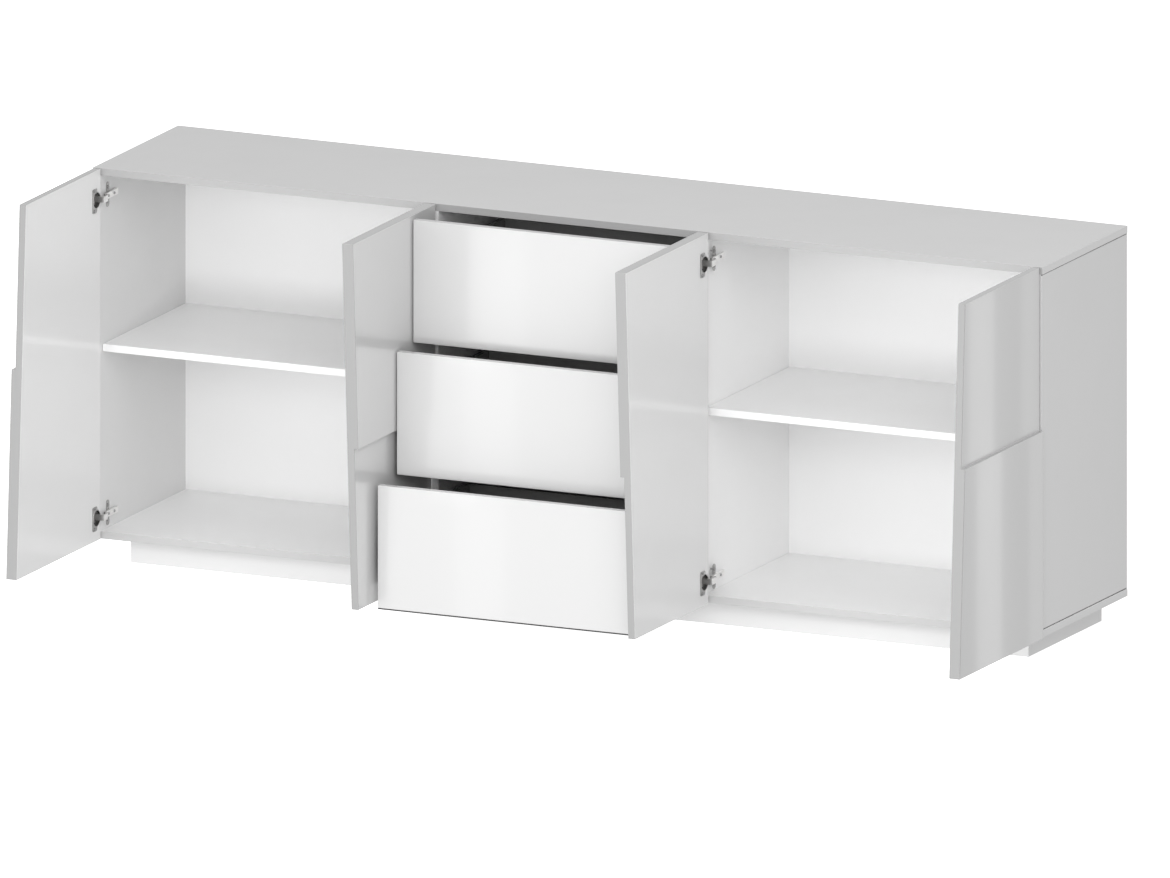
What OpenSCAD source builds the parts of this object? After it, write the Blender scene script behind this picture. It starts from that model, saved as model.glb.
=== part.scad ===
// Low sideboard with four hinged doors, two shelved bays, three drawers and a set-back plinth.
// X runs along the width, -Y is the front, Z = 0 is the floor and X = 0 is the middle.
// The doors stand open at 90 degrees and the drawers are drawn out in steps.

/* [Carcass] */
// Overall width of the top and bottom panels
body_w = 2200; // [1900:10:2400]
// Depth from the carcass front edges to the rear of the back sheets
body_d = 430; // [400:5:480]
// Height from the underside of the bottom panel to the top surface
carcass_h = 800; // [780:5:860]
// Thickness of the carcass boards, shelves, plinth boards and drawer fronts
board = 16; // [15:1:18]
// Thickness of the back sheets
back_t = 3; // [2.5:0.5:4]
// How far the side panels stand inside the ends of the top panel
side_reveal = 1.5; // [1:0.5:3]
// Height of the shadow groove at each end of a side panel
shadow_h = 2; // [1:0.5:3]
// Clear width of the drawer bay between the two dividers
drawer_bay_w = 598; // [594:2:602]

/* [Plinth and shelves] */
// Height of the plinth
plinth_h = 60; // [50:5:80]
// Setback of the plinth from the carcass front and from both ends
plinth_inset = 60; // [40:5:80]
// Height of the shelves' top surface above the bottom panel's underside
shelf_top = 418; // [350:2:460]
// Setback of the shelves from the carcass front edges
shelf_setback = 12; // [8:1:20]

/* [Doors] */
// Thickness of a door in its thin zone
door_thin = 16; // [16:0.5:18]
// Thickness of a door in its proud zone
door_thick = 25; // [22:0.5:28]
// Gap between the carcass front edges and a closed door or drawer front
front_gap = 4; // [3.8:0.1:5]
// Distance of an outer door's hinge edge from the end of the top panel
outer_edge = 1.5; // [1:0.5:3]
// Distance of an inner door's hinge edge from the middle of the sideboard
inner_edge = 309.5; // [309:0.5:312]
// Width of an outer door at its bottom edge
outer_door_low_w = 419; // [400:1:430]
// Width of an outer door at its top edge
outer_door_high_w = 372; // [360:1:400]
// Gap between the free edges of two closed doors
meeting_gap = 3; // [2:0.5:5]
// Share of a door's height that its proud zone takes
proud_share = 0.56; // [0.5:0.01:0.62]

/* [Hinges] */
// Distance of the hinge pin from the door's hinge edge
pin_in = 9; // [8:0.1:9.2]
// Distance of the hinge pin in front of the carcass front edges
pin_out = 14; // [13.8:0.1:15]
// Radius of the hinge pin
pin_r = 1.25; // [1:0.05:1.4]
// Height of the lower hinge above the bottom panel's underside
hinge_low = 49.5; // [45:0.5:120]
// Height of the upper hinge above the bottom panel's underside
hinge_high = 736; // [660:1:750]
// Height of the hinge arm
arm_h = 13; // [11:0.5:14]

/* [Drawers] */
// Width of the drawer fronts
front_w = 600; // [594:1:601]
// Height of the gap between two drawer fronts
front_pitch_gap = 3; // [2:0.5:4]
// How much lower than the doors the drawer fronts hang
front_drop = 8.5; // [4:0.5:12]
// How far the top drawer is drawn out
top_pull = 104; // [0:1:300]
// How far the middle drawer is drawn out
middle_pull = 186; // [0:1:300]
// How far the bottom drawer is drawn out
bottom_pull = 282; // [0:1:300]
// Length of the drawer sides
box_l = 400; // [380:5:405]
// Height of the drawer sides
box_h = 150; // [120:5:170]
// Thickness of the drawer sides and backs
box_t = 12; // [12:1:15]

/* [Hidden] */

$fn = 40;
// Overlap of solids that are joined
eps = 0.01;
// How far a cutting tool passes the face it cuts through
over = 1;
// Length of a bore that is open at one end
open_bore_l = 20;

// Carcass planes
half_w = body_w / 2;
front_y = -body_d / 2;
rear_y = body_d / 2;
panel_rear_y = rear_y - back_t;
low_z = plinth_h;
floor_z = plinth_h + board;
top_z = plinth_h + carcass_h;
ceiling_z = top_z - board;
side_outer_x = half_w - side_reveal;
side_inner_x = side_outer_x - board;
divider_in_x = drawer_bay_w / 2;
divider_out_x = divider_in_x + board;

// Doors, drawn for the left half and closed; the right half is its mirror image
door_y = front_y - front_gap;
outer_hinge_x = -half_w + outer_edge;
inner_hinge_x = -inner_edge;
pin_y = front_y - pin_out;
outer_pin_x = outer_hinge_x + pin_in;
inner_pin_x = inner_hinge_x - pin_in;
proud_h = carcass_h * proud_share;

// Hinge sizes, measured from the pin: a runs towards the door's free edge when the door
// is closed, b runs towards the back
pin_fit = 0.05;
face_b = pin_out - front_gap;
cup_a = 12;
cup_r = 17.4;
cup_wall = 0.8;
cup_cavity_r = cup_r - cup_wall;
cup_floor_b = -2.8;
cup_bottom_b = -3.3;
cup_bore_r = 17.5;
cup_bore_b = -3.4;
cup_mouth_a = 26.4;
flange_t = 1.2;
flange_r = 18.5;
wing_a0 = 9.5;
wing_a1 = 32.5;
wing_half_h = 26;
wing_round = 4;
cup_screw_a = 21.5;
cup_screw_z = 22.5;
pin_half = 11.2;
eye_r = 2.3;
arm_t = 2.5;
arm_a = 21;
arm_stand = 5;
arm_end_b = 88;
crank_b0 = 17;
crank_b1 = 29;
crank_shift = 1;
cheek_t = 1.2;
cheek_d = 2.6;
plate_b = 49;
plate_wing_w = 12;
plate_wing_half = 27;
plate_wing_t = 2;
plate_block_w = 9.6;
plate_block_b0 = 33;
plate_block_b1 = 80;
plate_screw_z = 16;
plate_skin = 0.4;
arm_screw_bs = [39, 68];
outer_wall_a = side_reveal + board - outer_edge - pin_in;
inner_wall_a = -inner_pin_x - divider_out_x;
hinge_zs = [low_z + hinge_low, low_z + hinge_high];

// Screws: shaft radius, head radius, head height
screw_r = 1.8;
screw_head_r = 3.6;
screw_head_h = 1.7;
arm_screw_r = 1.5;
arm_screw_head_r = 3;
wood_fit = 0.05;
metal_fit = 0.1;
pin_seat_fit = 0.02;
end_play = 0.5;
plate_screw_l = 13;
cup_screw_l = 11;
arm_screw_l = 6.8;

// Dowels, connecting screws and shelf pins
dowel_r = 4;
dowel_in = 12;
dowel_l = 30;
dowel_inset = 50;
dowel_ys = [front_y + dowel_inset, 0, panel_rear_y - dowel_inset];
confirmat_r = 3;
confirmat_head_r = 4.6;
confirmat_head_h = 3;
confirmat_l = 50;
confirmat_inset = 90;
confirmat_ys = [front_y + confirmat_inset, panel_rear_y - confirmat_inset];
upright_xs = [-side_inner_x - board / 2, -divider_in_x - board / 2,
              divider_in_x + board / 2, side_inner_x + board / 2];
shelf_fit = 0.5;
shelf_z = low_z + shelf_top - board;
shelf_pin_r = 2.5;
shelf_pin_l = 17;
shelf_pin_in = 9;
shelf_pin_inset = 60;
shelf_pin_ys = [front_y + shelf_pin_inset, panel_rear_y - shelf_pin_inset];

// Back sheets: set in from the carcass edges, with joints behind the dividers
sheet_edge = 3;
sheet_joint_x = divider_in_x + board / 2;
sheet_joint_gap = 1;

// Plinth
plinth_x = half_w - plinth_inset;
plinth_y0 = front_y + plinth_inset;
rail_y0 = plinth_y0 + board;
rail_y1 = panel_rear_y - board;
cross_rail_xs = [-sheet_joint_x, 0, sheet_joint_x];

// Drawers: 0 is the top one
pulls = [top_pull, middle_pull, bottom_pull];
front_h = (carcass_h - 2 * front_pitch_gap) / 3;
front_low_z = low_z - front_drop;
box_rise = 34;
slide_w = 12.7;
box_half_w = divider_in_x - slide_w;
box_y0 = door_y;
groove_d = 6;
base_t = 3;
base_fit = 0.1;
base_rise = 10;
base_play = 0.5;
base_z = box_rise + base_rise;
runner_rise = 45;
runner_setback = 2;
runner_l = box_l;
runner_y0 = front_y + runner_setback;
strip_h = 2.5;
// Cabinet member and drawer member of a runner: height, sheet thickness, reach from its wall
rail_t = 1.2;
cabinet_rail_h = 35;
cabinet_rail_reach = 10;
drawer_rail_h = 24;
drawer_rail_reach = 8.5;
rail_lip = 2.2;
rail_z = box_rise + runner_rise;

white = [0.93, 0.93, 0.93];
gloss_white = [0.97, 0.97, 0.97];
steel = [0.72, 0.73, 0.75];
beech = [0.80, 0.66, 0.48];
dark = [0.15, 0.15, 0.15];

function meet_x(z) = outer_hinge_x + outer_door_low_w
    + (outer_door_high_w - outer_door_low_w) * z / carcass_h;
function front_z(i) = front_low_z + (2 - i) * (front_h + front_pitch_gap);

// ---------- shared shapes ----------

module box(x0, x1, y0, y1, z0, z1) {
    translate([x0, y0, z0]) cube([x1 - x0, y1 - y0, z1 - z0]);
}

module both_sides() {
    children();
    mirror([1, 0, 0]) children();
}

module right_side() {
    mirror([1, 0, 0]) children();
}

// Rod from a point, along +Z
module rod(p, r, l) {
    translate(p) cylinder(r = r, h = l);
}

// Rod from a point, along +X
module rod_x(p, r, l) {
    translate(p) rotate([0, 90, 0]) cylinder(r = r, h = l);
}

// Rod from a point, along +Y
module rod_y(p, r, l) {
    translate(p) rotate([-90, 0, 0]) cylinder(r = r, h = l);
}

// Screw with a cross recess, head up: the head's underside is at Z = 0
module screw(r, l, head_r, head_h) {
    recess = head_r * 1.2;
    slot = head_r * 0.24;
    difference() {
        union() {
            cylinder(r = head_r, h = head_h);
            translate([0, 0, -l]) cylinder(r = r, h = l + eps);
        }
        for (turn = [0, 90]) rotate([0, 0, turn])
            box(-recess / 2, recess / 2, -slot / 2, slot / 2, head_h / 2, head_h + over);
    }
}

// ---------- carcass ----------

// The rods take the clearance round them and at their ends: none for the piece, some for its bore
module dowel_rods(fit, play) {
    for (x = upright_xs, y = dowel_ys) {
        rod([x, y, ceiling_z + dowel_in - dowel_l - play], dowel_r + fit, dowel_l + 2 * play);
        rod([x, y, floor_z - dowel_in - play], dowel_r + fit, dowel_l + 2 * play);
    }
}

module confirmat_rods(fit, play) {
    mouth = fit > 0 ? over : 0;
    for (x = upright_xs, y = confirmat_ys) {
        rod([x, y, low_z], confirmat_r + fit, confirmat_l + play);
        rod([x, y, low_z - mouth], confirmat_head_r + fit, confirmat_head_h + mouth);
    }
}

module shelf_pin_rods(fit, play) {
    z = shelf_z - shelf_pin_r;
    r = shelf_pin_r + fit;
    for (y = shelf_pin_ys) both_sides() {
        rod_x([-side_inner_x - shelf_pin_in - play, y, z], r, shelf_pin_l + play);
        rod_x([-divider_out_x - shelf_pin_l + shelf_pin_in, y, z], r, shelf_pin_l + play);
    }
}

// Everything that is let into the carcass boards
module carcass_bores() {
    dowel_rods(wood_fit, end_play);
    confirmat_rods(wood_fit, end_play);
    shelf_pin_rods(wood_fit, end_play);
    both_sides() for (z = hinge_zs) {
        at_outer_pin(z) plate_screw_bores(outer_wall_a);
        at_inner_pin(z) plate_screw_bores(inner_wall_a);
    }
}

module top_panel() color(white) difference() {
    box(-half_w, half_w, front_y, panel_rear_y, ceiling_z, top_z);
    dowel_rods(wood_fit, end_play);
}

module bottom_panel() color(white) difference() {
    box(-half_w, half_w, front_y, panel_rear_y, low_z, floor_z);
    dowel_rods(wood_fit, end_play);
    confirmat_rods(wood_fit, end_play);
}

// Side panel of the left end, with a shadow groove under the top and over the bottom panel
module side_board() color(white) difference() {
    box(-side_outer_x, -side_inner_x, front_y, panel_rear_y, floor_z, ceiling_z);
    for (z = [floor_z - eps, ceiling_z - shadow_h])
        box(-half_w, -side_outer_x + side_reveal, front_y - over, panel_rear_y + over,
            z, z + shadow_h + eps);
    carcass_bores();
}

module left_side_panel() side_board();
module right_side_panel() right_side() side_board();

module divider_board() color(white) difference() {
    box(-divider_out_x, -divider_in_x, front_y, panel_rear_y, floor_z, ceiling_z);
    carcass_bores();
}

module left_divider() divider_board();
module right_divider() right_side() divider_board();

module end_sheet() color(white)
    box(-half_w + sheet_edge, -sheet_joint_x - sheet_joint_gap / 2, panel_rear_y, rear_y,
        low_z + sheet_edge, top_z - sheet_edge);

module left_back_sheet() end_sheet();
module right_back_sheet() right_side() end_sheet();
module centre_back_sheet() color(white)
    box(-sheet_joint_x + sheet_joint_gap / 2, sheet_joint_x - sheet_joint_gap / 2,
        panel_rear_y, rear_y, low_z + sheet_edge, top_z - sheet_edge);

module shelf_board() color(white)
    box(-side_inner_x + shelf_fit, -divider_out_x - shelf_fit, front_y + shelf_setback,
        panel_rear_y - shelf_fit, shelf_z, shelf_z + board);

module left_shelf() shelf_board();
module right_shelf() right_side() shelf_board();

module shelf_pins() color(steel) shelf_pin_rods(0, 0);

// ---------- plinth ----------

module plinth_front() color(white) box(-plinth_x, plinth_x, plinth_y0, rail_y0, 0, plinth_h);
module plinth_back() color(white) box(-plinth_x, plinth_x, rail_y1, panel_rear_y, 0, plinth_h);
module plinth_left_end() color(white) box(-plinth_x, -plinth_x + board, rail_y0, rail_y1, 0, plinth_h);
module plinth_right_end() right_side() plinth_left_end();
module plinth_cross_rails() color(white)
    for (x = cross_rail_xs) box(x - board / 2, x + board / 2, rail_y0, rail_y1, 0, plinth_h);

// ---------- carcass fasteners ----------

module carcass_dowels() color(beech) dowel_rods(0, 0);
module carcass_screws() color(steel) confirmat_rods(0, 0);

// ---------- hinges ----------

// Places a hinge drawn in its own a-b axes at the pin of a left-hand door
module at_outer_pin(z) {
    translate([outer_pin_x, pin_y, z]) children();
}

module at_inner_pin(z) {
    translate([inner_pin_x, pin_y, z]) mirror([1, 0, 0]) children();
}

module every_hinge_on_carcass() {
    both_sides() for (z = hinge_zs) {
        at_outer_pin(z) {
            $wall_a = outer_wall_a;
            children();
        }
        at_inner_pin(z) {
            $wall_a = inner_wall_a;
            children();
        }
    }
}

// Cranked arm: an eye round the pin, a short leg out of the cup and a long leg along the wall
module hinge_arm(wall_a) {
    web_a = wall_a + arm_stand;
    leg_b1 = arm_t - eye_r;
    difference() {
        union() {
            cylinder(r = eye_r, h = arm_h, center = true);
            linear_extrude(height = arm_h, center = true) polygon([
                [0, -eye_r], [arm_a + arm_t, -eye_r], [arm_a + arm_t, crank_b0],
                [web_a + arm_t, crank_b1], [web_a + arm_t, arm_end_b], [web_a, arm_end_b],
                [web_a, crank_b1 - crank_shift], [arm_a, crank_b0 - crank_shift],
                [arm_a, leg_b1], [0, leg_b1]
            ]);
            for (z = [-arm_h / 2, arm_h / 2 - cheek_t])
                box(web_a - cheek_d, web_a + eps, crank_b1, arm_end_b, z, z + cheek_t);
        }
        cylinder(r = pin_r + pin_fit, h = arm_h + 2 * over, center = true);
        for (b = arm_screw_bs) rod_x([web_a - over, b, 0], arm_screw_r + metal_fit, arm_t + 2 * over);
    }
}

// Cruciform plate screwed to the wall, with a block that the arm sits on
module mounting_plate(wall_a) {
    wing_r = plate_wing_w / 2;
    wing_z = plate_wing_half - wing_r;
    difference() {
        union() {
            box(wall_a, wall_a + arm_stand, plate_block_b0, plate_block_b1,
                -plate_block_w / 2, plate_block_w / 2);
            box(wall_a, wall_a + plate_wing_t, plate_b - wing_r, plate_b + wing_r, -wing_z, wing_z);
            for (s = [-1, 1]) rod_x([wall_a, plate_b, s * wing_z], wing_r, plate_wing_t);
        }
        for (s = [-1, 1])
            rod_x([wall_a - over, plate_b, s * plate_screw_z], screw_r + metal_fit,
                plate_wing_t + 2 * over);
        for (b = arm_screw_bs)
            rod_x([wall_a + plate_skin, b, 0], arm_screw_r + wood_fit, arm_stand);
    }
}

module plate_screw_bores(wall_a) {
    tip_a = wall_a + plate_wing_t - plate_screw_l;
    for (s = [-1, 1])
        rod_x([tip_a - end_play, plate_b, s * plate_screw_z], screw_r + wood_fit, plate_screw_l);
}

module carcass_hinge_screws(wall_a) {
    for (s = [-1, 1])
        translate([wall_a + plate_wing_t, plate_b, s * plate_screw_z])
            rotate([0, 90, 0]) screw(screw_r, plate_screw_l, screw_head_r, screw_head_h);
    for (b = arm_screw_bs)
        translate([wall_a + arm_stand + arm_t, b, 0])
            rotate([0, 90, 0]) screw(arm_screw_r, arm_screw_l, arm_screw_head_r, screw_head_h);
}

module hinge_arms() color(steel) every_hinge_on_carcass() hinge_arm($wall_a);
module hinge_mounting_plates() color(steel) every_hinge_on_carcass() mounting_plate($wall_a);
module hinge_plate_screws() color(steel) every_hinge_on_carcass() carcass_hinge_screws($wall_a);

// Cup with its flange, hollow and open except for a narrow solid segment at its far side
module hinge_cup() {
    round_a0 = wing_a0 + wing_round;
    round_a1 = wing_a1 - wing_round;
    round_z = wing_half_h - wing_round;
    difference() {
        union() {
            rod_y([cup_a, cup_bottom_b, 0], cup_r, face_b - cup_bottom_b + eps);
            rod_y([cup_a, face_b, 0], flange_r, flange_t);
            box(wing_a0, wing_a1, face_b, face_b + flange_t, -round_z, round_z);
            box(round_a0, round_a1, face_b, face_b + flange_t, -wing_half_h, wing_half_h);
            for (a = [round_a0, round_a1], s = [-1, 1])
                rod_y([a, face_b, s * round_z], wing_round, flange_t);
        }
        intersection() {
            rod_y([cup_a, cup_floor_b, 0], cup_cavity_r, open_bore_l);
            box(cup_a - cup_r, cup_mouth_a, cup_floor_b - over, cup_floor_b + open_bore_l,
                -cup_r, cup_r);
        }
        cylinder(r = pin_r + pin_seat_fit, h = 4 * pin_half, center = true);
        for (s = [-1, 1])
            rod_y([cup_screw_a, face_b - over, s * cup_screw_z], screw_r + metal_fit,
                flange_t + 2 * over);
    }
}

module door_bores() {
    for (z = hinge_zs) translate([0, 0, z]) {
        rod_y([cup_a, cup_bore_b, 0], cup_bore_r, open_bore_l);
        for (s = [-1, 1])
            rod_y([cup_screw_a, face_b - cup_screw_l, s * cup_screw_z], screw_r + wood_fit, open_bore_l);
    }
}

// The parts of one door, drawn closed in the a-b axes of its pin
module cups() color(steel) for (z = hinge_zs) translate([0, 0, z]) hinge_cup();
module pins() color(steel) for (z = hinge_zs) rod([0, 0, z - pin_half], pin_r, 2 * pin_half);
module cup_screws() color(steel)
    for (z = hinge_zs, s = [-1, 1])
        translate([cup_screw_a, face_b + flange_t, z + s * cup_screw_z])
            rotate([-90, 0, 0]) screw(screw_r, cup_screw_l, screw_head_r, screw_head_h);

// Door board: edge_low and edge_high are the free edge's distances from the pin, and the proud
// zone runs from proud_z0 to proud_z1
module door_board(edge_low, edge_high, proud_z0, proud_z1) {
    function edge(z) = edge_low + (edge_high - edge_low) * z / carcass_h;
    difference() {
        union() {
            door_layer(0, carcass_h, edge(0), edge(carcass_h), door_thin);
            door_layer(proud_z0, proud_z1, edge(proud_z0), edge(proud_z1), door_thick);
        }
        door_bores();
    }
}

module door_layer(z0, z1, edge0, edge1, thickness) {
    translate([0, face_b, low_z]) rotate([90, 0, 0]) linear_extrude(height = thickness)
        polygon([[-pin_in, z0], [edge0, z0], [edge1, z1], [-pin_in, z1]]);
}

module outer_panel() color(gloss_white)
    door_board(meet_x(0) - outer_pin_x, meet_x(carcass_h) - outer_pin_x, 0, proud_h);

module inner_panel() color(gloss_white)
    door_board(inner_pin_x - meet_x(0) - meeting_gap, inner_pin_x - meet_x(carcass_h) - meeting_gap,
        carcass_h - proud_h, carcass_h);

// Opens an outer or inner door of the left half by 90 degrees
module open_outer() at_outer_pin(0) rotate([0, 0, -90]) children();
module open_inner() at_inner_pin(0) rotate([0, 0, -90]) children();

module left_outer_door_panel() open_outer() outer_panel();
module left_outer_door_hinge_cups() open_outer() cups();
module left_outer_door_hinge_pins() open_outer() pins();
module left_outer_door_hinge_screws() open_outer() cup_screws();
module left_inner_door_panel() open_inner() inner_panel();
module left_inner_door_hinge_cups() open_inner() cups();
module left_inner_door_hinge_pins() open_inner() pins();
module left_inner_door_hinge_screws() open_inner() cup_screws();
module right_inner_door_panel() right_side() left_inner_door_panel();
module right_inner_door_hinge_cups() right_side() left_inner_door_hinge_cups();
module right_inner_door_hinge_pins() right_side() left_inner_door_hinge_pins();
module right_inner_door_hinge_screws() right_side() left_inner_door_hinge_screws();
module right_outer_door_panel() right_side() left_outer_door_panel();
module right_outer_door_hinge_cups() right_side() left_outer_door_hinge_cups();
module right_outer_door_hinge_pins() right_side() left_outer_door_hinge_pins();
module right_outer_door_hinge_screws() right_side() left_outer_door_hinge_screws();

// ---------- drawers ----------

// Drawer parts are drawn pushed in; drawn() pulls drawer i out and lifts it to its place
module drawn(i) translate([0, -pulls[i], front_z(i)]) children();

// The base, or with a fit over 0 the groove that it lies in
module drawer_base_slab(fit) {
    reach = fit > 0 ? groove_d : groove_d - base_play;
    half = box_half_w - box_t + reach;
    rear = fit > 0 ? over : 0;
    box(-half, half, box_y0 - reach, box_y0 + box_l + rear, base_z - fit, base_z + base_t + fit);
}

module drawer_front() color(gloss_white) difference() {
    box(-front_w / 2, front_w / 2, door_y - board, door_y, 0, front_h);
    drawer_base_slab(base_fit);
}

module drawer_side() color(white) difference() {
    box(-box_half_w, -box_half_w + box_t, box_y0, box_y0 + box_l, box_rise, box_rise + box_h);
    drawer_base_slab(base_fit);
}

module drawer_back() color(white)
    box(-box_half_w + box_t, box_half_w - box_t, box_y0 + box_l - box_t, box_y0 + box_l,
        base_z + base_t, box_rise + box_h);

module drawer_base() color(white) drawer_base_slab(0);

// Channel rail along Y: the web stands against x = 0 and the flanges reach towards +X
module rail(h, reach) {
    box(0, rail_t, runner_y0, runner_y0 + runner_l, -h / 2, h / 2);
    for (s = [-1, 1]) mirror([0, 0, s < 0 ? 1 : 0])
        box(0, reach, runner_y0, runner_y0 + runner_l, h / 2 - rail_t, h / 2);
}

module cabinet_rail() {
    rail(cabinet_rail_h, cabinet_rail_reach);
    for (s = [0, 1]) mirror([0, 0, s])
        box(cabinet_rail_reach - rail_t, cabinet_rail_reach, runner_y0, runner_y0 + runner_l,
            cabinet_rail_h / 2 - rail_lip - rail_t, cabinet_rail_h / 2);
}

module cabinet_runners() color(steel)
    for (i = [0:2]) both_sides() translate([-divider_in_x, 0, front_z(i) + rail_z]) cabinet_rail();

module drawer_runners() color(steel) both_sides()
    translate([-box_half_w, 0, rail_z]) mirror([1, 0, 0]) rail(drawer_rail_h, drawer_rail_reach);

module top_drawer_front() drawn(0) drawer_front();
module top_drawer_left_side() drawn(0) drawer_side();
module top_drawer_right_side() drawn(0) right_side() drawer_side();
module top_drawer_back() drawn(0) drawer_back();
module top_drawer_base() drawn(0) drawer_base();
module top_drawer_runners() drawn(0) drawer_runners();
module middle_drawer_front() drawn(1) drawer_front();
module middle_drawer_left_side() drawn(1) drawer_side();
module middle_drawer_right_side() drawn(1) right_side() drawer_side();
module middle_drawer_back() drawn(1) drawer_back();
module middle_drawer_base() drawn(1) drawer_base();
module middle_drawer_runners() drawn(1) drawer_runners();
module bottom_drawer_front() drawn(2) drawer_front();
module bottom_drawer_left_side() drawn(2) drawer_side();
module bottom_drawer_right_side() drawn(2) right_side() drawer_side();
module bottom_drawer_back() drawn(2) drawer_back();
module bottom_drawer_base() drawn(2) drawer_base();
module bottom_drawer_runners() drawn(2) drawer_runners();

// Dark strip along the lower edge of the lowest front
module bottom_drawer_edge_strip() drawn(2) color(dark)
    box(-front_w / 2, front_w / 2, door_y - board, door_y, -strip_h, 0);

top_panel();
bottom_panel();
left_side_panel();
right_side_panel();
left_divider();
right_divider();
left_back_sheet();
centre_back_sheet();
right_back_sheet();
left_shelf();
right_shelf();
shelf_pins();
plinth_front();
plinth_back();
plinth_left_end();
plinth_right_end();
plinth_cross_rails();
carcass_dowels();
carcass_screws();
hinge_arms();
hinge_mounting_plates();
hinge_plate_screws();
left_outer_door_panel();
left_outer_door_hinge_cups();
left_outer_door_hinge_pins();
left_outer_door_hinge_screws();
left_inner_door_panel();
left_inner_door_hinge_cups();
left_inner_door_hinge_pins();
left_inner_door_hinge_screws();
right_inner_door_panel();
right_inner_door_hinge_cups();
right_inner_door_hinge_pins();
right_inner_door_hinge_screws();
right_outer_door_panel();
right_outer_door_hinge_cups();
right_outer_door_hinge_pins();
right_outer_door_hinge_screws();
cabinet_runners();
top_drawer_front();
top_drawer_left_side();
top_drawer_right_side();
top_drawer_back();
top_drawer_base();
top_drawer_runners();
middle_drawer_front();
middle_drawer_left_side();
middle_drawer_right_side();
middle_drawer_back();
middle_drawer_base();
middle_drawer_runners();
bottom_drawer_front();
bottom_drawer_left_side();
bottom_drawer_right_side();
bottom_drawer_back();
bottom_drawer_base();
bottom_drawer_runners();
bottom_drawer_edge_strip();
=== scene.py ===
import math

import bpy
from mathutils import Matrix, Vector


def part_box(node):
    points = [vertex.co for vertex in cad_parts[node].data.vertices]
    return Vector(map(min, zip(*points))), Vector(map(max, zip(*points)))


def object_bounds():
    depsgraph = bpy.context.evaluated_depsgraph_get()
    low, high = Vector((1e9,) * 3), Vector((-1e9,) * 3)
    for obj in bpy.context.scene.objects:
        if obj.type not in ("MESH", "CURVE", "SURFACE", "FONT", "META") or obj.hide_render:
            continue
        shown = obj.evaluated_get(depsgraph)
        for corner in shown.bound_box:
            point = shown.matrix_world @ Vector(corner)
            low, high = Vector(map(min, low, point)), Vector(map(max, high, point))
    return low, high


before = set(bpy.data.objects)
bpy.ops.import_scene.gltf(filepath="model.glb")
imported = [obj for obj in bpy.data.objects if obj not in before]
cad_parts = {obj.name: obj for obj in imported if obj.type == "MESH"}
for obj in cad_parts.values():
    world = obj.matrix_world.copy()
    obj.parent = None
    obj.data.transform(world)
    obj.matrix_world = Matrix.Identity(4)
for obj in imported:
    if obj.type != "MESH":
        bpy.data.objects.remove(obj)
CAD_LOW, CAD_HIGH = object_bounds()
MM = 0.001

# ---------- camera: a parallel projection from the right and a little above ----------

CAMERA_AZIMUTH = math.radians(24.84)
CAMERA_ELEVATION = math.radians(13.18)
CAMERA_SPAN = 2.4593
CAMERA_AIM_RIGHT = -0.05366
CAMERA_AIM_UP = 0.32698
CAMERA_DISTANCE = 7.0
CAMERA_REACH = 60


def view_axes(azimuth, elevation):
    """Right, up and towards-the-camera directions of a view."""
    right = Vector((math.cos(azimuth), math.sin(azimuth), 0))
    toward = Vector((math.sin(azimuth) * math.cos(elevation),
                     -math.cos(azimuth) * math.cos(elevation), math.sin(elevation)))
    return right, toward.cross(right), toward


def make_camera():
    right, up, toward = view_axes(CAMERA_AZIMUTH, CAMERA_ELEVATION)
    data = bpy.data.cameras.new("camera")
    data.type = "ORTHO"
    data.ortho_scale = CAMERA_SPAN
    data.clip_end = CAMERA_REACH
    camera = bpy.data.objects.new("camera", data)
    bpy.context.scene.collection.objects.link(camera)
    aim = right * CAMERA_AIM_RIGHT + up * CAMERA_AIM_UP
    turn = Matrix((right, up, toward)).transposed().to_4x4()
    camera.matrix_world = Matrix.Translation(aim + toward * CAMERA_DISTANCE) @ turn
    bpy.context.scene.camera = camera


# ---------- node helpers ----------

# Range that most of a noise's values lie in
NOISE_LOW, NOISE_HIGH = 0.3, 0.7
# Range of a normal's component over which a face comes to count as turned along the axis
FACING_LOW, FACING_HIGH = 0.5, 0.7


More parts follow.
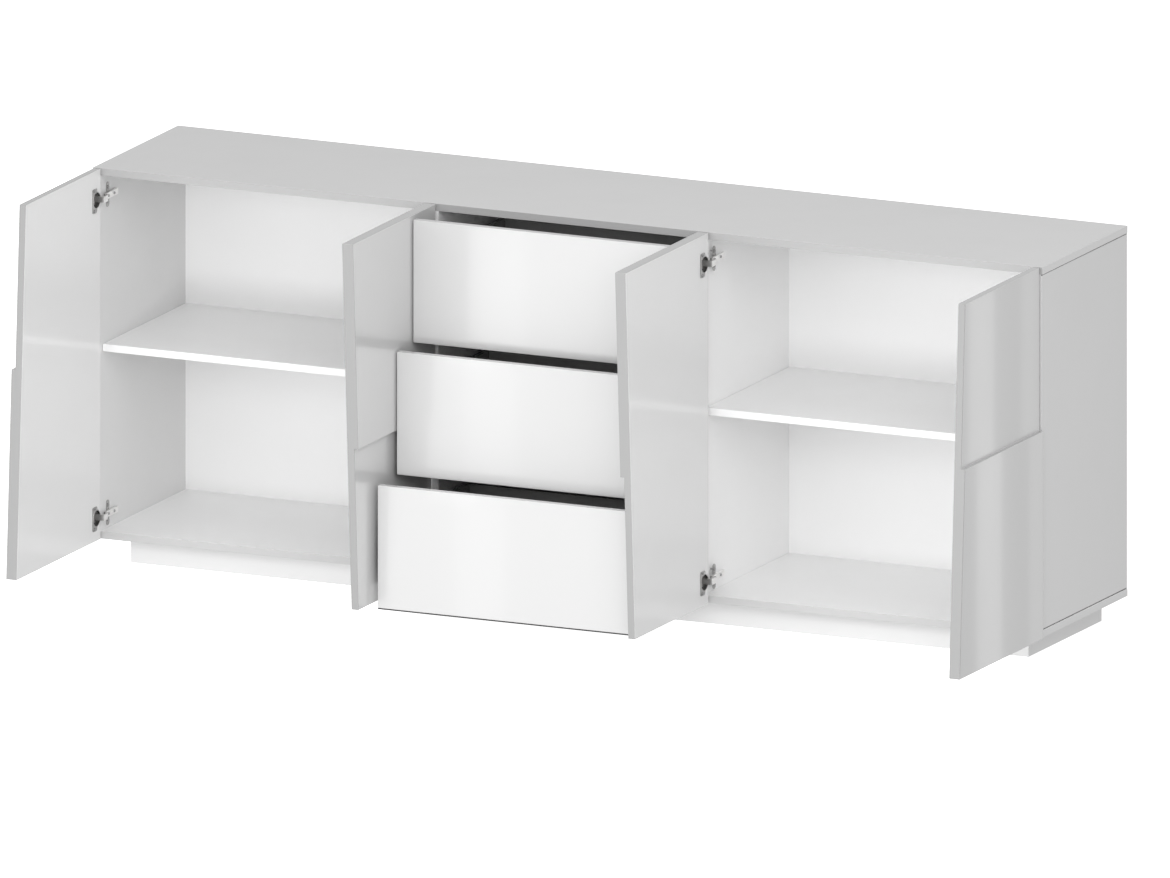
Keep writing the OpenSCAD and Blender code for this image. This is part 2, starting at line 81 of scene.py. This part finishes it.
class Nodes:
    """Short ways to add shader nodes to one material and to join them."""

    def __init__(self, name):
        self.material = bpy.data.materials.new(name)
        self.material.use_nodes = True
        self.tree = self.material.node_tree
        self.tree.nodes.clear()
        self.shader = self.add("ShaderNodeBsdfPrincipled")
        output = self.add("ShaderNodeOutputMaterial")
        self.join(self.shader.outputs["BSDF"], output.inputs["Surface"])
        self.coords = self.add("ShaderNodeTexCoord")
        self.place = self.coords.outputs["Object"]
        self.normal = self.coords.outputs["Normal"]

    def add(self, kind, **settings):
        node = self.tree.nodes.new(kind)
        for key, value in settings.items():
            setattr(node, key, value)
        return node

    def join(self, source, target):
        self.tree.links.new(source, target)

    def feed(self, target, value):
        """Sets an input to a number, a colour or another node's output."""
        if isinstance(value, bpy.types.NodeSocket):
            self.join(value, target)
        else:
            target.default_value = value

    def math(self, operation, a, b=0.0, c=0.0):
        node = self.add("ShaderNodeMath", operation=operation)
        for target, value in zip(node.inputs, (a, b, c)):
            self.feed(target, value)
        return node.outputs[0]

    def product(self, *masks):
        result = masks[0]
        for mask in masks[1:]:
            result = self.math("MULTIPLY", result, mask)
        return result

    def step(self, value, low, high, out_low=0.0, out_high=1.0):
        """Turns value from low to high into out_low to out_high, smoothly and clamped."""
        node = self.add("ShaderNodeMapRange", interpolation_type="SMOOTHSTEP")
        self.feed(node.inputs["Value"], value)
        node.inputs["From Min"].default_value = low
        node.inputs["From Max"].default_value = high
        node.inputs["To Min"].default_value = out_low
        node.inputs["To Max"].default_value = out_high
        return node.outputs["Result"]

    def spread(self, noise, low, high):
        """Turns a noise into values from low to high."""
        return self.step(noise, NOISE_LOW, NOISE_HIGH, low, high)

    def facing(self, component, sign=1):
        """1 where a component of the normal points along its axis, or against it if sign is -1."""
        return self.step(component, sign * FACING_LOW, sign * FACING_HIGH)

    def between(self, value, low, high, soft):
        """1 where value is between low and high, falling to 0 over soft on both sides."""
        rise = self.step(value, low - soft, low)
        return self.math("MULTIPLY", rise, self.step(value, high, high + soft, 1.0, 0.0))

    def split(self, vector):
        node = self.add("ShaderNodeSeparateXYZ")
        self.feed(node.inputs[0], vector)
        return node.outputs

    def stretch(self, scale):
        node = self.add("ShaderNodeMapping")
        self.join(self.place, node.inputs["Vector"])
        node.inputs["Scale"].default_value = scale
        return node.outputs["Vector"]

    def noise(self, per_metre, detail=2.0, roughness=0.5, place=None):
        node = self.add("ShaderNodeTexNoise")
        self.join(place or self.place, node.inputs["Vector"])
        node.inputs["Scale"].default_value = per_metre
        node.inputs["Detail"].default_value = detail
        node.inputs["Roughness"].default_value = roughness
        return node.outputs["Fac"]

    def cells(self, per_metre):
        node = self.add("ShaderNodeTexVoronoi", feature="SMOOTH_F1")
        self.join(self.place, node.inputs["Vector"])
        node.inputs["Scale"].default_value = per_metre
        return node.outputs["Distance"]

    def mix(self, amount, a, b):
        node = self.add("ShaderNodeMix", data_type="RGBA")
        self.feed(node.inputs["Factor"], amount)
        self.feed(node.inputs["A"], a)
        self.feed(node.inputs["B"], b)
        return node.outputs["Result"]

    def from_arris(self, low, high):
        """Distance of a point on a face of the box from low to high to the face's nearest arris:
        the middle one of its three distances to the box's faces."""
        gaps = []
        for axis, coordinate in enumerate(self.split(self.place)):
            offset = self.math("SUBTRACT", coordinate, (low[axis] + high[axis]) / 2)
            half_size = (high[axis] - low[axis]) / 2
            gaps.append(self.math("SUBTRACT", half_size, self.math("ABSOLUTE", offset)))
        a, b, c = gaps
        smaller_of_rest = self.math("MINIMUM", self.math("MAXIMUM", a, b), c)
        return self.math("MAXIMUM", self.math("MINIMUM", a, b), smaller_of_rest)

    def bump(self, height, distance, strength, under=None):
        node = self.add("ShaderNodeBump")
        node.inputs["Strength"].default_value = strength
        node.inputs["Distance"].default_value = distance
        self.join(height, node.inputs["Height"])
        if under:
            self.join(under, node.inputs["Normal"])
        return node.outputs["Normal"]

    def finish(self, color, roughness, normal=None, **constants):
        """Feeds the shader; constants are sockets that stay the same all over the surface."""
        self.feed(self.shader.inputs["Base Color"], color)
        self.feed(self.shader.inputs["Roughness"], roughness)
        if normal:
            self.join(normal, self.shader.inputs["Normal"])
        for key, value in constants.items():
            self.shader.inputs[key.replace("_", " ")].default_value = value
        return self.material


def grey(value, warmth=0.0):
    return (value * (1 + warmth), value, value * (1 - warmth), 1.0)


# ---------- board finishes ----------

# Tones of the carcass
SHELL_TONE = 0.72
# The three front edge tones are painted shade: the front edges of the top, bottom and side panels are
# toned darker than the rest of their boards.
TOP_EDGE_SHADE_TONE = 0.46
BOTTOM_EDGE_SHADE_TONE = 0.55
SIDE_EDGE_SHADE_TONE = 0.70
INNER_TONE = 0.96
PLINTH_TONE = 0.80
SHEET_TONE = 0.92

# Tones of the doors and drawers
OUTER_DOOR_TONE = 0.61
# Painted light: the inner doors' outside is the same lacquer as the outer doors' and is only toned
# lighter.
INNER_DOOR_PAINTED_LIGHT_TONE = 0.66
DOOR_INSIDE_TONE = 0.79
# The door edge tones are painted shade: the edge bands are darker than the faces, the upright edges
# more than the top and bottom edges.
DOOR_EDGE_SHADE_TONE = 0.33
DOOR_TOP_SHADE_TONE = 0.52
FRONT_TONE = 0.62
DRAWER_TONE = 0.34

# Clouding and worn arrises
CLOUD_PER_METRE = 5
CLOUD_COLOR = grey(0.45, 0.01)
HANDLED_COLOR = grey(0.9)
HANDLED_SHARE = 0.12
WEAR_WIDTH = 1.2 * MM
FULL_WEAR_WIDTH = 0.1 * MM

# Pearl texture and the joint line of the edge bands
PEARL_PER_METRE = 900
PEARL_HEIGHT = 0.02 * MM
BAND_THICKNESS = 0.8 * MM
JOINT_WIDTH = 0.15 * MM
JOINT_SOFTNESS = 0.05 * MM
JOINT_COLOR = grey(0.3)
JOINT_SHARE = 0.3

# Painted shade in the groove at both ends of a side panel, coloured near black: its height, and the
# depths behind the outer face between which it is painted dark
GROOVE_SHADE_COLOR = grey(0.05)
GROOVE_HEIGHT = 2.2 * MM
GROOVE_END_SOFTNESS = 0.3 * MM
GROOVE_DEEP, GROOVE_SHALLOW = 2 * MM, 0.6 * MM
GROOVE_SOFTNESS = 0.2 * MM

# Fine line beside the free edge of a door's outer face
LINE_START, LINE_END = 0.5 * MM, 1.3 * MM
LINE_SOFTNESS = 0.5 * MM
LINE_COLOR = grey(0.12)
LINE_SHARE = 0.55

# Scuffed arrises of the drawer boards
SCUFFED_COLOR = grey(0.35)
SCUFFED_SHARE = 0.4

# Rear of the back sheets
FIBRE_DARK = (0.30, 0.19, 0.11, 1)
FIBRE_LIGHT = (0.50, 0.34, 0.21, 1)
FIBRE_MOTTLE = (0.50, 0.36, 0.23, 1)
FIBRE_SPECK = (0.20, 0.12, 0.07, 1)


def worn_arrises(n, low, high):
    """1 at the arrises of the box from low to high and 0 away from them."""
    return n.step(n.from_arris(low, high), WEAR_WIDTH, FULL_WEAR_WIDTH)


def worn_color(n, color, wear, cloud_share):
    """Colour with faint clouding and a touch of wear at the arrises, and the clouding itself."""
    cloud = n.noise(CLOUD_PER_METRE, detail=4, roughness=0.6)
    handled = n.mix(n.math("MULTIPLY", wear, HANDLED_SHARE), color, HANDLED_COLOR)
    clouded = n.mix(n.step(cloud, 0.35, 0.75, out_high=cloud_share), handled, CLOUD_COLOR)
    return clouded, cloud


def satin_board(node, tone_of):
    """Melamine-faced board: fine pearl texture, clouding, worn arrises and the joint line of the
    edge band behind its front edge. tone_of gives the board's colour from its nodes and box."""
    n = Nodes(node + "_melamine")
    low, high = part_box(node)
    wear = worn_arrises(n, low, high)
    color, cloud = worn_color(n, tone_of(n, low, high), wear, cloud_share=0.03)
    joint_y = low.y + BAND_THICKNESS
    joint = n.between(n.split(n.place)["Y"], joint_y, joint_y + JOINT_WIDTH, JOINT_SOFTNESS)
    color = n.mix(n.math("MULTIPLY", joint, JOINT_SHARE), color, JOINT_COLOR)
    polish = n.math("MULTIPLY", wear, -0.08)
    rough = n.math("ADD", n.spread(cloud, 0.40, 0.47), polish)
    normal = n.bump(n.cells(PEARL_PER_METRE), PEARL_HEIGHT, strength=0.35)
    fine = n.noise(PEARL_PER_METRE * 2.5, detail=3)
    normal = n.bump(fine, distance=0.01 * MM, strength=0.25, under=normal)
    return n.finish(color, rough, normal, Specular_IOR_Level=0.4)


def even_tone(value):
    """Board of one tone all round."""
    return lambda n, low, high: grey(value)


def lying_tone(upper_tone, edge_shade_tone):
    """Top or bottom panel: the shell's tone, another tone on its upper face, and a darker tone on its
    front edge as painted shade.
    """
    def tone(n, low, high):
        normal = n.split(n.normal)
        faces = n.mix(n.facing(normal["Z"]), grey(SHELL_TONE), grey(upper_tone))
        # Painted shade: the front edge gets the darker edge tone.
        return n.mix(n.facing(normal["Y"], -1), faces, grey(edge_shade_tone))
    return tone


def side_tone(n, low, high):
    """Side panel: the shell's tone, a darker tone on the front edge as painted shade, and painted
    shade in the groove at both ends.
    """
    front = n.facing(n.split(n.normal)["Y"], -1)
    # Painted shade: the front edge gets a darker tone of its own.
    tone = n.mix(front, grey(SHELL_TONE), grey(SIDE_EDGE_SHADE_TONE))
    place = n.split(n.place)
    from_foot = n.math("SUBTRACT", place["Z"], low.z)
    from_head = n.math("SUBTRACT", high.z, place["Z"])
    from_end = n.math("MINIMUM", from_foot, from_head)
    # Painted shade: the floor of the groove at both ends of the panel is coloured near black.
    shade_at_end = n.step(from_end, GROOVE_HEIGHT, GROOVE_HEIGHT - GROOVE_END_SOFTNESS)
    outer_x = max(abs(low.x), abs(high.x))
    shade_behind_face = n.between(n.math("ABSOLUTE", place["X"]), outer_x - GROOVE_DEEP,
                            outer_x - GROOVE_SHALLOW, GROOVE_SOFTNESS)
    return n.mix(n.product(shade_at_end, shade_behind_face), tone, GROOVE_SHADE_COLOR)


def gloss_lacquer(node, n, color):
    """Lacquered board: a clear glossy coat over the colour, with a slight orange peel."""
    wear = worn_arrises(n, *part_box(node))
    color, cloud = worn_color(n, color, wear, cloud_share=0.02)
    scuffing = n.math("MULTIPLY", wear, 0.1)
    rough = n.math("ADD", n.spread(cloud, 0.16, 0.20), scuffing)
    normal = n.bump(n.noise(45, detail=1), distance=0.05 * MM, strength=0.12)
    normal = n.bump(n.noise(260), distance=0.02 * MM, strength=0.15, under=normal)
    return n.finish(color, rough, normal, Specular_IOR_Level=0.5, Coat_Weight=0.6,
                    Coat_Roughness=0.06, Coat_IOR=1.5)


def door_material(door):
    """Door: outside tone, a little lighter on the inner doors as painted light, lighter inside, edge
    bands toned darker as painted shade (the upright edges more than the top and bottom ones) and a
    fine dark line along the free edge of the outer face."""
    node = door + "_panel"
    n = Nodes(node + "_lacquer")
    inward = 1 if door in ("left_outer_door", "right_inner_door") else -1
    # The inner doors' outside gets the lighter tone as painted light.
    outside = OUTER_DOOR_TONE if "outer" in door else INNER_DOOR_PAINTED_LIGHT_TONE
    normal = n.split(n.normal)
    toward_bay = n.math("MULTIPLY", normal["X"], inward)
    flat = n.facing(n.math("ABSOLUTE", normal["X"]))
    lying = n.facing(n.math("ABSOLUTE", normal["Z"]))
    face = n.mix(n.facing(toward_bay), grey(outside), grey(DOOR_INSIDE_TONE))
    # Painted shade on the edge bands, darker on the upright edges than on the top and bottom ones.
    edge = n.mix(lying, grey(DOOR_EDGE_SHADE_TONE), grey(DOOR_TOP_SHADE_TONE))
    from_edge = n.math("SUBTRACT", n.split(n.place)["Y"], free_edge(n, node))
    beside_edge = n.between(from_edge, LINE_START, LINE_END, LINE_SOFTNESS)
    line = n.product(beside_edge, n.facing(toward_bay, -1))
    color = n.mix(n.math("MULTIPLY", line, LINE_SHARE), n.mix(flat, edge, face), LINE_COLOR)
    return gloss_lacquer(node, n, color)


def free_edge(n, node):
    """Y of the door's slanted free edge at the shaded point's height."""
    low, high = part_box(node)
    points = [v.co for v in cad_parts[node].data.vertices]
    bottom = min(p.y for p in points if p.z < low.z + MM)
    top = min(p.y for p in points if p.z > high.z - MM)
    height = n.math("SUBTRACT", n.split(n.place)["Z"], low.z)
    return n.math("MULTIPLY_ADD", height, (top - bottom) / (high.z - low.z), bottom)


def drawer_front_material(node):
    return gloss_lacquer(node, Nodes(node + "_lacquer"), grey(FRONT_TONE))


def drawer_board_material(node):
    """Dark matt drawer board with a fine emboss from front to rear and scuffed arrises."""
    n = Nodes(node + "_dark")
    grain = n.noise(700, detail=3, place=n.stretch((1, 0.08, 1)))
    wear = worn_arrises(n, *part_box(node))
    color = n.mix(n.noise(8, detail=3), grey(DRAWER_TONE * 0.85), grey(DRAWER_TONE * 1.15))
    color = n.mix(n.math("MULTIPLY", wear, SCUFFED_SHARE), color, SCUFFED_COLOR)
    emboss = n.bump(grain, distance=0.03 * MM, strength=0.3)
    return n.finish(color, n.spread(grain, 0.42, 0.55), emboss, Specular_IOR_Level=0.45)


def fibre_color(n, fibre):
    """Mottled brown fibre with dark specks."""
    color = n.mix(fibre, FIBRE_DARK, FIBRE_LIGHT)
    mottle = n.noise(45, detail=4, roughness=0.65)
    color = n.mix(n.step(mottle, 0.35, 0.65, out_high=0.4), color, FIBRE_MOTTLE)
    specks = n.step(n.cells(320), 0.22, 0.1, out_high=0.4)
    return n.mix(specks, color, FIBRE_SPECK)


def back_sheet_material(node):
    """Thin fibreboard sheet: white and a little wavy in front, plain brown fibre at the rear."""
    n = Nodes(node + "_fibreboard")
    rear = n.facing(n.split(n.normal)["Y"])
    fibre = n.noise(220, detail=5, roughness=0.7)
    color = n.mix(rear, grey(SHEET_TONE), fibre_color(n, fibre))
    rougher_rear = n.math("MULTIPLY", rear, 0.25)
    rough = n.math("ADD", n.spread(fibre, 0.42, 0.5), rougher_rear)
    normal = n.bump(n.noise(3, detail=1), distance=0.5 * MM, strength=0.25)
    normal = n.bump(n.cells(PEARL_PER_METRE), PEARL_HEIGHT, strength=0.3, under=normal)
    return n.finish(color, rough, normal, Specular_IOR_Level=0.4)


# ---------- hardware finishes ----------

NICKEL_WARMTH = 0.01
BEECH_DARK = (0.42, 0.27, 0.14, 1)
BEECH_LIGHT = (0.60, 0.42, 0.24, 1)
BEECH_FLECK = (0.30, 0.18, 0.09, 1)


def plated_steel(name, tone, roughness, warmth=0.0, drawn=(1, 1, 1)):
    """Plated steel: fine texture, drawn out along one axis if asked, faint spots and scuffs."""
    n = Nodes(name)
    lines = n.noise(900, place=n.stretch(drawn))
    spots = n.noise(150, detail=4)
    color = n.mix(spots, grey(tone * 0.9, warmth), grey(tone * 1.08, warmth))
    scuffs = n.step(n.noise(420, detail=5, roughness=0.7), 0.62, 0.72, out_high=0.35)
    color = n.mix(scuffs, color, grey(tone * 0.6, warmth))
    smooth = n.spread(lines, roughness * 0.8, roughness * 1.25)
    rough = n.math("ADD", smooth, n.math("MULTIPLY", scuffs, 0.3))
    return n.finish(color, rough, n.bump(lines, distance=0.02 * MM, strength=0.3), Metallic=1.0)


def beech_material():
    n = Nodes("beech_dowel")
    grain = n.noise(400, detail=4, roughness=0.6, place=n.stretch((1, 1, 0.06)))
    flecks = n.step(n.cells(1400), 0.25, 0.1, out_high=0.3)
    color = n.mix(flecks, n.mix(grain, BEECH_DARK, BEECH_LIGHT), BEECH_FLECK)
    ribs = n.bump(grain, distance=0.1 * MM, strength=0.4)
    return n.finish(color, roughness=0.65, normal=ribs)


def strip_material():
    n = Nodes("edge_strip_matt")
    grain = n.noise(600, detail=3)
    color = n.mix(grain, grey(0.018), grey(0.035))
    pits = n.bump(grain, distance=0.03 * MM, strength=0.3)
    return n.finish(color, n.spread(grain, 0.5, 0.7), pits)


# ---------- putting the materials on ----------

BOARD_TONES = {
    "top_panel": lying_tone(SHELL_TONE, TOP_EDGE_SHADE_TONE),
    "bottom_panel": lying_tone(INNER_TONE, BOTTOM_EDGE_SHADE_TONE),
    "left_side_panel": side_tone,
    "right_side_panel": side_tone,
}


def shared_materials():
    """Materials that several small pieces share, by node name or by its last word."""
    screw = plated_steel("screw_zinc", tone=0.45, roughness=0.30)
    return {
        "carcass_dowels": beech_material(),
        "bottom_drawer_edge_strip": strip_material(),
        "hinge_arms": plated_steel("bright_nickel", 0.92, 0.34, NICKEL_WARMTH),
        "hinge": plated_steel("nickel_plate", 0.42, 0.24, NICKEL_WARMTH),
        "screws": screw,
        "pins": screw,
        "runners": plated_steel("zinc_plate", tone=0.42, roughness=0.32, drawn=(1, 0.05, 1)),
    }


def material_of(name, shared):
    """The material of one CAD node."""
    last_word = name.rsplit("_", 1)[-1]
    if name in shared:
        return shared[name]
    if last_word in shared:
        return shared[last_word]
    if "hinge" in name:
        return shared["hinge"]
    if name.endswith("_back_sheet"):
        return back_sheet_material(name)
    if name.endswith("_door_panel"):
        return door_material(name[:-len("_panel")])
    if name.endswith("_drawer_front"):
        return drawer_front_material(name)
    if "_drawer_" in name:
        return drawer_board_material(name)
    inner = even_tone(PLINTH_TONE if name.startswith("plinth") else INNER_TONE)
    return satin_board(name, BOARD_TONES.get(name, inner))


# ---------- rounded arrises ----------

BOARD_ROUND = 0.7 * MM
FRONT_ROUND = 0.9 * MM
ROUND_SEGMENTS = 2
ARRIS_ANGLE = math.radians(35)
SHORTEST_ARRIS = 5 * MM
WELD_GAP = 0.01 * MM
FLAT_ANGLE = math.radians(0.5)
SHADING_WEIGHT = 80
UNROUNDED = ("_screws", "_pins", "_dowels", "_back_sheet", "_base", "_runners", "_strip")


def arris_marker():
    """Geometry nodes that mark a board's long, sharp edges for rounding and leave the short
    edges of bore rims sharp."""
    group = bpy.data.node_groups.new("mark_arrises", "GeometryNodeTree")
    group.interface.new_socket("Geometry", in_out="INPUT", socket_type="NodeSocketGeometry")
    group.interface.new_socket("Geometry", in_out="OUTPUT", socket_type="NodeSocketGeometry")

    def add(kind, **settings):
        node = group.nodes.new(kind)
        for key, value in settings.items():
            setattr(node, key, value)
        return node

    start = add("NodeGroupInput")
    end = add("NodeGroupOutput")
    sharp = add("ShaderNodeMath", operation="GREATER_THAN")
    sharp.inputs[1].default_value = ARRIS_ANGLE
    long = add("ShaderNodeMath", operation="GREATER_THAN")
    long.inputs[1].default_value = SHORTEST_ARRIS
    weight = add("ShaderNodeMath", operation="MULTIPLY")
    length = add("ShaderNodeVectorMath", operation="DISTANCE")
    ends = add("GeometryNodeInputMeshEdgeVertices")
    store = add("GeometryNodeStoreNamedAttribute", data_type="FLOAT", domain="EDGE")
    store.inputs["Name"].default_value = "bevel_weight_edge"
    for source, target in (
            (add("GeometryNodeInputMeshEdgeAngle").outputs["Unsigned Angle"], sharp.inputs[0]),
            (ends.outputs["Position 1"], length.inputs[0]),
            (ends.outputs["Position 2"], length.inputs[1]),
            (length.outputs["Value"], long.inputs[0]),
            (sharp.outputs[0], weight.inputs[0]),
            (long.outputs[0], weight.inputs[1]),
            (weight.outputs[0], store.inputs["Value"]),
            (start.outputs["Geometry"], store.inputs["Geometry"]),
            (store.outputs["Geometry"], end.inputs["Geometry"])):
        group.links.new(source, target)
    return group


def round_edges(piece, width, marker):
    """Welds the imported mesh's split points, joins its flat faces and rounds its long arrises."""
    weld = piece.modifiers.new("weld", "WELD")
    weld.merge_threshold = WELD_GAP
    flat = piece.modifiers.new("flat_faces", "DECIMATE")
    flat.decimate_type = "DISSOLVE"
    flat.angle_limit = FLAT_ANGLE
    piece.modifiers.new("mark_arrises", "NODES").node_group = marker
    bevel = piece.modifiers.new("round_edges", "BEVEL")
    bevel.width = width
    bevel.segments = ROUND_SEGMENTS
    bevel.limit_method = "WEIGHT"
    bevel.use_clamp_overlap = False
    smooth = piece.modifiers.new("shading", "WEIGHTED_NORMAL")
    smooth.weight = SHADING_WEIGHT


def rounding_of(name):
    """Width of the rounding of a node's arrises, or None for hardware and thin boards."""
    if "hinge" in name or name.endswith(UNROUNDED):
        return None
    return FRONT_ROUND if name.endswith(("_door_panel", "_drawer_front")) else BOARD_ROUND


def dress_nodes():
    shared = shared_materials()
    marker = arris_marker()
    for name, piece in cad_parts.items():
        piece.data.materials.clear()
        piece.data.materials.append(material_of(name, shared))
        width = rounding_of(name)
        if width:
            round_edges(piece, width, marker)


# ---------- floor ----------

FLOOR_SIZE = 40.0
FLOOR_DROP = 0.5 * MM
FLOOR_TONE = 0.95
FLOOR_GLOW = 0.90


def make_floor():
    """Plain floor that glows by itself, so that it comes out white in the sideboard's shadow
    too. It gives the sideboard no light, shades nothing and isn't mirrored."""
    half = FLOOR_SIZE / 2
    corners = [(-half, -half, 0), (half, -half, 0), (half, half, 0), (-half, half, 0)]
    mesh = bpy.data.meshes.new("floor")
    mesh.from_pydata(corners, [], [(0, 1, 2, 3)])
    floor = bpy.data.objects.new("floor", mesh)
    bpy.context.scene.collection.objects.link(floor)
    floor.location.z = -FLOOR_DROP
    n = Nodes("floor_paint")
    n.finish(grey(FLOOR_TONE), roughness=0.9, Emission_Color=grey(1.0),
             Emission_Strength=FLOOR_GLOW, Specular_IOR_Level=0.0)
    mesh.materials.append(n.material)
    floor.visible_glossy = False
    floor.visible_diffuse = False
    floor.visible_shadow = False


# ---------- light ----------

SKY_LEVEL = 0.62

# Bright bands on the drawer fronts: each drawer and the X of its band's middle
DRAWER_BANDS = (("top", -97 * MM), ("middle", -82 * MM), ("bottom", -63 * MM))
DRAWER_BAND_WIDTH = 114 * MM
DRAWER_BAND_LEVEL = 0.65
DRAWER_CARD_DISTANCE = 0.6

# Even sheen over all the drawer fronts
SHEEN_WIDTH, SHEEN_HEIGHT = 3.4, 1.6
SHEEN_LEVEL = 1.0
SHEEN_CARD_DISTANCE = 2.5

# Bright bands on the right outer door: name, Y of the band's middle, width and level
DOOR_BANDS = (("free_edge_card", -0.491, 0.126, 1.0), ("hinge_edge_card", -0.250, 0.080, 0.6))
DOOR_BAND_EXTRA_HEIGHT = 0.1
DOOR_CARD_DISTANCE = 0.9


def area_light(name, width, height, energy):
    data = bpy.data.lights.new(name, "AREA")
    data.shape = "RECTANGLE"
    data.size, data.size_y = width, height
    data.energy = energy
    light = bpy.data.objects.new(name, data)
    bpy.context.scene.collection.objects.link(light)
    light.visible_camera = False
    return light


def soft_light(name, azimuth, elevation, distance, size, level, glossy=True):
    """Area light that shines on the middle of the sideboard from an azimuth and elevation in
    degrees; level is the brightness it gives to a white face turned towards it."""
    light = area_light(name, *size, energy=level * (math.pi * distance) ** 2)
    toward = view_axes(math.radians(azimuth), math.radians(elevation))[2]
    light.location = (CAD_LOW + CAD_HIGH) / 2 + toward * distance
    light.rotation_euler = (-toward).to_track_quat("-Z", "Y").to_euler()
    light.visible_glossy = glossy


def gloss_card(name, point, normal, width, height, distance, level):
    """Card of light that shows only mirrored in a glossy face: for the camera its image is
    centred on a point of the face and covers the given width and height of it."""
    card = area_light(name, width, height, energy=level * math.pi * width * height)
    toward = view_axes(CAMERA_AZIMUTH, CAMERA_ELEVATION)[2]
    mirrored = 2 * toward.dot(normal) * normal - toward
    card.location = Vector(point) + mirrored * distance
    card.rotation_euler = (-normal).to_track_quat("-Z", "Y").to_euler()
    card.visible_diffuse = False


def make_gloss_cards():
    """Soft upright bands on the drawer fronts and on the right outer door, and a sheen."""
    front = Vector((0, -1, 0))
    for drawer, x in DRAWER_BANDS:
        low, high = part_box(drawer + "_drawer_front")
        point = (x, low.y, (low.z + high.z) / 2)
        gloss_card(drawer + "_card", point, front, DRAWER_BAND_WIDTH, high.z - low.z,
                   DRAWER_CARD_DISTANCE, DRAWER_BAND_LEVEL)
    point = (0, CAD_LOW.y, CAD_HIGH.z / 2)
    gloss_card("front_card", point, front, SHEEN_WIDTH, SHEEN_HEIGHT, SHEEN_CARD_DISTANCE, SHEEN_LEVEL)
    low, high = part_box("right_outer_door_panel")
    for name, y, width, level in DOOR_BANDS:
        point = (high.x, y, (low.z + high.z) / 2)
        gloss_card(name, point, Vector((1, 0, 0)), width, high.z - low.z + DOOR_BAND_EXTRA_HEIGHT,
                   DOOR_CARD_DISTANCE, level)


def make_light():
    """Even sky, two lights from the front, one from the front right and one from above."""
    world = bpy.data.worlds.new("studio")
    world.use_nodes = True
    sky = world.node_tree.nodes["Background"]
    sky.inputs["Color"].default_value = grey(1.0)
    sky.inputs["Strength"].default_value = SKY_LEVEL
    bpy.context.scene.world = world
    soft_light("low_front_light", azimuth=-3, elevation=-6, distance=3.4, size=(5, 0.5),
               level=0.40, glossy=False)
    soft_light("high_front_light", azimuth=6, elevation=18, distance=3.6, size=(5, 0.9),
               level=0.32, glossy=False)
    soft_light("right_light", azimuth=38, elevation=32, distance=7.0, size=(4, 4), level=0.25)
    soft_light("top_light", azimuth=0, elevation=90, distance=4.5, size=(5, 4), level=0.08)


make_camera()
dress_nodes()
make_floor()
make_light()
make_gloss_cards()
bpy.context.scene.view_settings.view_transform = "Standard"
